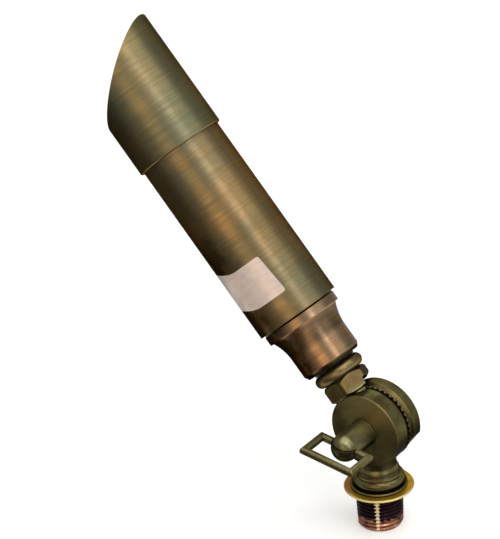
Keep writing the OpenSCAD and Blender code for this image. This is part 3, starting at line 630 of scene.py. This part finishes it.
# The screw keeps the joint line of its mould, a dark groove above the loop's plane, and has
# painted shade below it. The loop itself is paler. All in mm, along and across the screw.
LOOP_COLOUR = "#8a8862"
LOOP_TURN = math.radians(10)
DOME_R = 6.1
DOME_MIDDLE = -24.0
DOME_TIP = -29.3
GROOVE_ABOVE = 2.1
cast_screw, tree, shader, place, colour, low_side = cast_bronze(
    "cast_bronze_screw", False, LOOP_COLOUR, 0.4, 0.0, 0.0)
above = maths(tree, "SUBTRACT",
              along_line(tree, place, (math.sin(LOOP_TURN), 0, math.cos(LOOP_TURN))),
              KNUCKLE_H / MM * math.cos(LOOP_TURN))
parts = split(tree, place)
off_groove = maths(tree, "ABSOLUTE", maths(tree, "SUBTRACT", above, GROOVE_ABOVE))
groove = maths(tree, "MULTIPLY", eased(tree, off_groove, (0.15, 0.4), (1.0, 0.0)),
               eased(tree, parts["Y"], (DOME_MIDDLE - 0.3, DOME_MIDDLE + 0.6), (1.0, 0.0)))
# the mould's groove, and painted shade below the loop's plane
dark = maths(tree, "MAXIMUM", groove, eased(tree, above, (1.2, 4.8), (0.66, 0.0)))
off_middle = maths(tree, "ABSOLUTE", parts["X"])
on_dome = maths(tree, "MULTIPLY",
                eased(tree, off_middle, (DOME_R - 0.2, DOME_R + 0.1), (1.0, 0.0)),
                eased(tree, parts["Y"], (DOME_TIP - 0.4, DOME_TIP)))
colour = covered(tree, colour, CAST_BLACK, maths(tree, "MULTIPLY", dark, on_dome))
feed(tree, shader, {"Base Color": colour})
give(["thumb_screw", "clamp_washer"], cast_screw)


# Flange washer. Stamped from yellow brass sheet with rolled edges and left satin, browner at
# one side and a little green where the foot stands on it and holds water.
FLANGE_YELLOW = "#b48c1e"
FLANGE_TARNISH = "#8f6a2c"
FLANGE_BROWN = "#6e430f"
FLANGE_GREEN = "#5a5a2a"
FLANGE_RIM_HIGHLIGHT = "#f6e69a"
FLANGE_SHEEN = "#c9a040"
FLANGE_FRONT = (0.568, -0.823, 0)
FLANGE_LEFT = (-0.823, -0.568, 0)
# distance of the rolled rim from the axis in mm
FLANGE_RIM_R = (14.3, 14.9)
flange_brass, tree, shader = plain_material("satin_yellow_brass", FLANGE_YELLOW, 0.48, 0.5)
place = place_in_mm(tree, False)
tarnish = cloud_mask(tree, place, 5.0, 0.4, 0.7)
colour = covered(tree, FLANGE_YELLOW, FLANGE_TARNISH, tarnish, 0.6)
level = add(tree, "ShaderNodeVectorMath", {0: place, 1: (1, 1, 0)},
            operation="MULTIPLY").outputs["Vector"]
from_axis = add(tree, "ShaderNodeVectorMath", {0: level}, operation="LENGTH").outputs["Value"]
outward = add(tree, "ShaderNodeVectorMath", {0: level}, operation="NORMALIZE").outputs["Vector"]
browner_left = eased(tree, along_line(tree, outward, FLANGE_LEFT), (0.68, 0.98), (0.0, 0.75))
colour = covered(tree, colour, FLANGE_BROWN, browner_left)
# painted highlight along the rolled rim, strongest at the front
in_front = eased(tree, along_line(tree, outward, FLANGE_FRONT), (0.1, 0.9), (0.2, 1.0))
rim_highlight = maths(tree, "MULTIPLY", eased(tree, from_axis, FLANGE_RIM_R, (0.0, 0.9)), in_front)
colour = covered(tree, colour, FLANGE_RIM_HIGHLIGHT, rim_highlight)
colour = covered(tree, colour, FLANGE_GREEN, corner_mask(tree, 1.2 * MM, 0.25, 0.7), 0.3)
feed(tree, shader, {"Base Color": colour,
                    "Roughness": eased(tree, tarnish, (0.0, 1.0), (0.4, 0.52)),
                    "Specular Tint": FLANGE_SHEEN})
give(["flange_washer"], flange_brass)


# Gaskets and O-rings. Black nitrile rubber, moulded, a little shiny where they are squeezed;
# the lens gasket is white silicone.
def moulded_rubber(name, colour, pale, roughness):
    material, tree, shader = plain_material(name, colour, roughness)
    place = place_in_mm(tree, True)
    bloom = cloud_mask(tree, place, 3.0, 0.45, 0.75)
    feed(tree, shader, {"Base Color": covered(tree, colour, pale, bloom, 0.5),
                        "Specular Tint": pale})
    relief(tree, shader, noise(tree, place, 5.0, 2.0), 0.2, 0.05 * MM)
    return material


give(["shroud_o_rings", "base_cap_gasket", "base_cap_o_ring", "neck_gasket"],
     moulded_rubber("black_rubber", "#12170c", "#39472a", 0.46))
give(["lens_gasket"], moulded_rubber("white_silicone", "#d8d4cc", "#eceae4", 0.5))


# Lens and its retaining ring. A ground disc of clear heat-resisting glass on the gasket, held
# down by an open ring of spring steel wire that snaps into a groove in the tube.
GLASS_IOR = 1.5
lens_glass, tree, shader = plain_material("clear_glass", "#f3f8f6", 0.02)
smear = noise(tree, place_in_mm(tree, True), 0.25, 3.0)
feed(tree, shader, {"Transmission Weight": 1.0, "IOR": GLASS_IOR,
                    "Roughness": eased(tree, smear, (0.4, 0.7), (0.01, 0.08))})
give(["lens"], lens_glass)


def drawn_metal(name, colour, shade, roughness):
    """Drawn or turned metal, left as it is, a little dulled."""
    material, tree, shader = plain_material(name, colour, roughness, 1.0)
    place = place_in_mm(tree, True)
    dull = cloud_mask(tree, place, 4.0, 0.4, 0.7)
    feed(tree, shader, {"Base Color": covered(tree, colour, shade, dull, 0.6)})
    relief(tree, shader, grain_of(tree, place, 6.0, 0.2)["Height"], 0.2, 0.03 * MM)
    return material


give(["lens_ring"], drawn_metal("spring_steel", "#a3a39e", "#7b7a74", 0.3))


# Reflector lamp. A pressed glass reflector an inch across with a mirrored, faceted bowl, a
# quartz capsule in its middle and two pins in a ceramic base.
LAMP_FACE_T = 149.05 * MM
LAMP_LENGTH = 30 * MM
LAMP_FACE_R = 12.7 * MM
LAMP_BASE_R = 6 * MM
LAMP_BASE_LENGTH = 8 * MM
LAMP_WALL = 1.2 * MM
BOWL_RINGS = 9
BOWL_FACETS = 32
MIRROR_COLOUR = "#dcd8cf"
MIRROR_HAZE = "#c6b7a6"
QUARTZ_IOR = 1.46
HEAD_PLACE = Matrix.Translation((0, 0, KNUCKLE_H)) @ Matrix.Rotation(-HEAD_LEAN, 4, "Y")


def mesh_of(shape, name, place=Matrix.Identity(4), sharp_from=None):
    """The mesh of a closed shape, faces outward, smooth below an angle in degrees if one is given."""
    bmesh.ops.recalc_face_normals(shape, faces=shape.faces)
    shape.transform(place)
    mesh = bpy.data.meshes.new(name)
    shape.to_mesh(mesh)
    shape.free()
    if sharp_from:
        mesh.shade_smooth()
        mesh.set_sharp_from_angle(angle=math.radians(sharp_from))
    return mesh


def turned_shape(profile, steps):
    """A shape turned from (radius, height) points that start and end on the axis."""
    shape = bmesh.new()
    rings = []
    for r, z in profile:
        turns = [i * math.tau / steps for i in range(steps if r else 1)]
        rings.append([shape.verts.new((r * math.cos(a), r * math.sin(a), z)) for a in turns])
    for lower, upper in zip(rings, rings[1:]):
        for i in range(steps):
            n = (i + 1) % steps
            corners = (lower[i % len(lower)], lower[n % len(lower)],
                       upper[n % len(upper)], upper[i % len(upper)])
            # on the axis two corners are one
            shape.faces.new(list(dict.fromkeys(corners)))
    return shape


def bowl_curve(base_r, face_r, base_z, face_z):
    """The bowl's curve from its base to its face."""
    return [(base_r + (face_r - base_r) * math.sqrt(k / BOWL_RINGS),
             base_z + (face_z - base_z) * k / BOWL_RINGS)
            for k in range(BOWL_RINGS + 1)]


lamp_bottom = LAMP_FACE_T - LAMP_LENGTH
bowl_base = lamp_bottom + LAMP_BASE_LENGTH
outer_bowl = bowl_curve(LAMP_BASE_R, LAMP_FACE_R, bowl_base, LAMP_FACE_T - LAMP_WALL)
inner_bowl = bowl_curve(LAMP_BASE_R - LAMP_WALL, LAMP_FACE_R - LAMP_WALL,
                        bowl_base + LAMP_WALL, LAMP_FACE_T - LAMP_WALL)
lamp_profile = ([(0, lamp_bottom), (LAMP_BASE_R, lamp_bottom)] + outer_bowl
                + [(LAMP_FACE_R, LAMP_FACE_T), (LAMP_FACE_R - LAMP_WALL, LAMP_FACE_T)]
                + inner_bowl[::-1] + [(0, bowl_base + LAMP_WALL)])
mirror_coat, tree, shader = plain_material("faceted_mirror", MIRROR_COLOUR, 0.08, 1.0)
haze = cloud_mask(tree, place_in_mm(tree, True), 3.0, 0.4, 0.8)
feed(tree, shader, {"Base Color": covered(tree, MIRROR_COLOUR, MIRROR_HAZE, haze, 0.4),
                    "Roughness": eased(tree, haze, (0.0, 1.0), (0.05, 0.14))})
lamp_mesh = mesh_of(turned_shape(lamp_profile, BOWL_FACETS), "lamp_bowl", HEAD_PLACE)
lamp_bowl = new_object("faceted_lamp_bowl", lamp_mesh, mirror_coat)
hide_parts("lamp_reflector")
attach(lamp_bowl, "head")

quartz, tree, shader = plain_material("quartz_capsule", "#f6f4ee", 0.05)
frost = cloud_mask(tree, place_in_mm(tree, True), 2.0, 0.4, 0.7)
feed(tree, shader, {"Transmission Weight": 0.6, "IOR": QUARTZ_IOR,
                    "Roughness": eased(tree, frost, (0.0, 1.0), (0.05, 0.2))})
give(["lamp_capsule"], quartz)
give(["lamp_pins"], drawn_metal("nickel_pin", "#c9c6bd", "#a29e93", 0.25))


# Lampholder, bracket, leads and crimp caps. A glazed ceramic holder is screwed to a bent strip
# of zinc-plated steel; its glass-sleeved leads end in moulded crimp caps inside the tube.
def speckled(name, colour, speck, roughness, grain_size):
    material, tree, shader = plain_material(name, colour, roughness)
    place = place_in_mm(tree, True)
    specks = cloud_mask(tree, place, grain_size, 0.5, 0.72)
    feed(tree, shader, {"Base Color": covered(tree, colour, speck, specks, 0.6)})
    relief(tree, shader, noise(tree, place, 3.0, 3.0), 0.25, 0.06 * MM)
    return material


give(["lampholder"], speckled("glazed_ceramic", "#e9e5da", "#cfc8b8", 0.25, 1.2))
give(["socket_bracket", "bracket_screws"], drawn_metal("zinc_steel", "#b9b6aa", "#8e8a7d", 0.35))
give(["socket_leads"], speckled("glass_sleeve", "#dcd5c2", "#b9b09a", 0.7, 0.6))
give(["splice_caps"], speckled("crimp_cap", "#4a4b4e", "#63656a", 0.4, 1.5))


# Clamp stud. A turned brass stud pressed into the thumb screw, with its thread in the lower
# knuckle; only a little of it is ever seen between the discs.
give(["clamp_stud"], drawn_metal("turned_brass_stud", "#b39b62", "#7f6c40", 0.3))


# Pipe nipple. Half-inch brass pipe with a full length of taper thread at 14 to the inch, cut
# dark with cutting oil near the flange and rubbed to copper at the end that is screwed in.
THREAD_PITCH = 25.4 * MM / 14
THREAD_DEPTH = 1.05 * MM
THREAD_TOP_R = 10.4 * MM
THREAD_END_R = 9.85 * MM
THREAD_TOP = 0.3 * MM
THREAD_COLUMNS = 144
# turns cut beyond the ends, which the ends then cut off
SPARE_TURNS = 4
NIPPLE_LENGTH = 18 * MM
NIPPLE_BORE_R = 7 * MM
NIPPLE_CHAMFER = 0.8 * MM
CHAMFER_SLOPE = 1.3
BORE_CHAMFER = 0.4 * MM
SPIGOT_R = 8.9 * MM
SPIGOT_TOP = 6.4 * MM
SPIGOT_CHAMFER = 0.3 * MM
# share of the pitch, share of the depth
THREAD_SHAPE = [(0.0, 0.0), (0.07, 0.0), (0.11, 0.05), (0.46, 0.93), (0.5, 1.0), (0.56, 1.0),
                (0.6, 0.93), (0.95, 0.05)]
# inside of the nipple from the thread's top over the spigot and down the bore: radius, height
NIPPLE_INSIDE = [(SPIGOT_R, THREAD_TOP), (SPIGOT_R, SPIGOT_TOP - SPIGOT_CHAMFER),
                 (SPIGOT_R - SPIGOT_CHAMFER, SPIGOT_TOP), (NIPPLE_BORE_R, SPIGOT_TOP),
                 (NIPPLE_BORE_R, BORE_CHAMFER - NIPPLE_LENGTH),
                 (NIPPLE_BORE_R + BORE_CHAMFER, -NIPPLE_LENGTH)]
CLOSE = 1e-6


def thread_radius(z, turn):
    """Radius of the threaded surface at a height, at a share of a turn."""
    phase = (z / THREAD_PITCH - turn) % 1.0
    shape = THREAD_SHAPE + [(1.0, 0.0)]
    for (p0, d0), (p1, d1) in zip(shape, shape[1:]):
        if p0 <= phase <= p1:
            depth = d0 + (d1 - d0) * (phase - p0) / (p1 - p0)
            break
    taper = THREAD_TOP_R + (THREAD_END_R - THREAD_TOP_R) * -z / NIPPLE_LENGTH
    cone = THREAD_END_R - NIPPLE_CHAMFER * CHAMFER_SLOPE + (z + NIPPLE_LENGTH) * CHAMFER_SLOPE
    return min(taper - THREAD_DEPTH * depth, cone)


def nipple_mesh():
    turns = range(-int(NIPPLE_LENGTH / THREAD_PITCH) - SPARE_TURNS, SPARE_TURNS)
    shape = bmesh.new()
    columns = []
    for i in range(THREAD_COLUMNS + 1):
        turn = i / THREAD_COLUMNS
        heights = [min(max((k + share + turn) * THREAD_PITCH, -NIPPLE_LENGTH), THREAD_TOP)
                   for k in turns for share, _ in THREAD_SHAPE]
        outline = [(thread_radius(z, turn), z) for z in heights] + NIPPLE_INSIDE
        angle = turn * math.tau
        columns.append([shape.verts.new((r * math.cos(angle), r * math.sin(angle), z))
                        for r, z in outline])
    for left, right in zip(columns, columns[1:]):
        for j in range(len(left)):
            m = (j + 1) % len(left)
            shape.faces.new((left[j], right[j], right[m], left[m]))
    bmesh.ops.remove_doubles(shape, verts=shape.verts, dist=CLOSE)
    bmesh.ops.dissolve_degenerate(shape, edges=shape.edges, dist=CLOSE)
    return mesh_of(shape, "threaded_nipple", sharp_from=38)


OIL_DARK = "#241119"
OIL_STAIN = "#24121c"
ROOT_DARK = "#160a10"
END_COPPER = "#bd8064"
WORN_COPPER = "#e0b48e"
# a painted highlight: a pale vertical line, wider on the crests of the thread
HIGHLIGHT_STREAK_COLOUR = "#f8ecc6"
HIGHLIGHT_STREAK_ANGLE = math.radians(-63.5)
HIGHLIGHT_STREAK_WIDTH = (0.4, 0.85)
# height in mm at which the oil's dark gives way to copper
OIL_EDGE = (-12.6, -10.0)
thread_brass, tree, shader = plain_material("cut_thread_copper", END_COPPER, 0.3, 0.95)
place = place_in_mm(tree, False)
oil = cloud_mask(tree, place, 3.0, 0.35, 0.65)
oil_height = maths(tree, "ADD", split(tree, place)["Z"], maths(tree, "MULTIPLY", oil, 3.0))
copper = eased(tree, oil_height, OIL_EDGE, (1.0, 0.0))
colour = covered(tree, OIL_DARK, END_COPPER, copper)
colour = covered(tree, colour, OIL_STAIN, oil, 0.5)
colour = covered(tree, colour, ROOT_DARK, corner_mask(tree, 1.2 * MM, 0.3, 0.85), 0.75)
worn = maths(tree, "MULTIPLY", wear_mask(tree, place, 2.0, 0.25 * MM),
             eased(tree, copper, (0.0, 1.0), (0.12, 0.7)))
colour = covered(tree, colour, WORN_COPPER, worn)
beside = along_line(tree, place, (math.sin(HIGHLIGHT_STREAK_ANGLE), -math.cos(HIGHLIGHT_STREAK_ANGLE), 0))
reach = along_line(tree, place, (math.cos(HIGHLIGHT_STREAK_ANGLE), math.sin(HIGHLIGHT_STREAK_ANGLE), 0))
off_highlight_streak = maths(tree, "SUBTRACT", maths(tree, "ABSOLUTE", beside),
                   eased(tree, reach, (9.7, 10.3), (0.0, 0.7)))
highlight_streak = maths(tree, "MULTIPLY", eased(tree, off_highlight_streak, HIGHLIGHT_STREAK_WIDTH, (1.0, 0.0)),
               eased(tree, reach, (8.6, 9.6)))
feed(tree, shader, {"Base Color": covered(tree, colour, HIGHLIGHT_STREAK_COLOUR, highlight_streak),
                    "Metallic": eased(tree, highlight_streak, (0.0, 1.0), (0.95, 0.4)),
                    "Roughness": eased(tree, oil, (0.0, 1.0), (0.24, 0.4))})
nipple = new_object("threaded_nipple", nipple_mesh(), thread_brass)
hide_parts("nipple")
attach(nipple, "base")


# Foil patch. A blank strip of satin metallised foil stuck round the tube near its lower end, a
# little askew at the back, with soft corners and the small ripples of a sticker on a round face.
FOIL_LOW = 68.1 * MM
FOIL_HIGH = 86.5 * MM
FOIL_FROM = -130.0
FOIL_TO = -40.9
FOIL_SLANT = 4.4
FOIL_RISE = 3.4 * MM
FOIL_RISE_FROM = -80.0
FOIL_RISE_TO = -130.0
FOIL_R = 19.05 * MM
FOIL_T = 0.09 * MM
FOIL_SUNK = 0.02 * MM
FOIL_CORNER = 0.8 * MM
FOIL_RIPPLE = 0.018 * MM
FOIL_WAVE = 2.1 * MM
FOIL_STEPS = 60
FOIL_ROWS = 14


def foil_mesh():
    """A bent sheet with rounded corners, closed at its back and rim."""
    shape = bmesh.new()
    span = math.radians(FOIL_TO - FOIL_FROM) * FOIL_R
    height = FOIL_HIGH - FOIL_LOW
    front, back = [], []
    for i in range(FOIL_STEPS + 1):
        u = span * i / FOIL_STEPS
        inset = 0.0
        edge = min(u, span - u)
        if edge < FOIL_CORNER:
            inset = FOIL_CORNER - math.sqrt(FOIL_CORNER ** 2 - (FOIL_CORNER - edge) ** 2)
        share = min(max((FOIL_FROM + math.degrees(u / FOIL_R) - FOIL_RISE_FROM)
                        / (FOIL_RISE_TO - FOIL_RISE_FROM), 0.0), 1.0)
        rise = FOIL_RISE * share * share * (3 - 2 * share)
        front.append([])
        back.append([])
        for j in range(FOIL_ROWS + 1):
            angle = (math.radians(FOIL_FROM) + u / FOIL_R
                     - math.radians(FOIL_SLANT) * (i / FOIL_STEPS) * (j / FOIL_ROWS))
            t = FOIL_LOW + rise + inset + (height - 2 * inset) * j / FOIL_ROWS
            ripple = (FOIL_RIPPLE * math.sin(u / FOIL_WAVE + 3 * j / FOIL_ROWS)
                      * math.sin(math.pi * j / FOIL_ROWS))
            for rows, r in ((front, FOIL_R + FOIL_T + ripple), (back, FOIL_R - FOIL_SUNK)):
                rows[-1].append(shape.verts.new((r * math.cos(angle), r * math.sin(angle), t)))
    for i in range(FOIL_STEPS):
        for j in range(FOIL_ROWS):
            shape.faces.new((front[i][j], front[i + 1][j], front[i + 1][j + 1], front[i][j + 1]))
            shape.faces.new((back[i][j + 1], back[i + 1][j + 1], back[i + 1][j], back[i][j]))
    for i in range(FOIL_STEPS):
        for j, order in ((0, 1), (FOIL_ROWS, -1)):
            shape.faces.new((front[i][j], back[i][j], back[i + 1][j], front[i + 1][j])[::order])
    for j in range(FOIL_ROWS):
        for i, order in ((0, -1), (FOIL_STEPS, 1)):
            shape.faces.new((front[i][j], back[i][j], back[i][j + 1], front[i][j + 1])[::order])
    return mesh_of(shape, "foil_patch", HEAD_PLACE, sharp_from=40)


FOIL_PALE = "#dccbc0"
FOIL_WORN = "#bda99e"
FOIL_ROLLED = "#ae9a90"
FOIL_SHADE = "#4a3534"
satin_foil, tree, shader = plain_material("satin_foil", FOIL_PALE, 0.36, 0.2)
place = place_in_mm(tree, True)
rolled = grain_of(tree, place, 8.0, 0.25)
colour = covered(tree, FOIL_PALE, FOIL_WORN, cloud_mask(tree, place, 4.0, 0.4, 0.75), 0.4)
colour = covered(tree, colour, FOIL_ROLLED, eased(tree, rolled["Streak"], (0.35, 0.65), (0.2, 0.0)))
colour = covered(tree, colour, FOIL_SHADE, side_shade_mask(tree, place, HEAD_UNDERSIDE, 0.05, 0.7), 0.8)
feed(tree, shader, {"Base Color": colour})
relief(tree, shader, rolled["Height"], 0.2, 0.03 * MM)
patch = new_object("foil_patch", foil_mesh(), satin_foil)
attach(patch, "head")
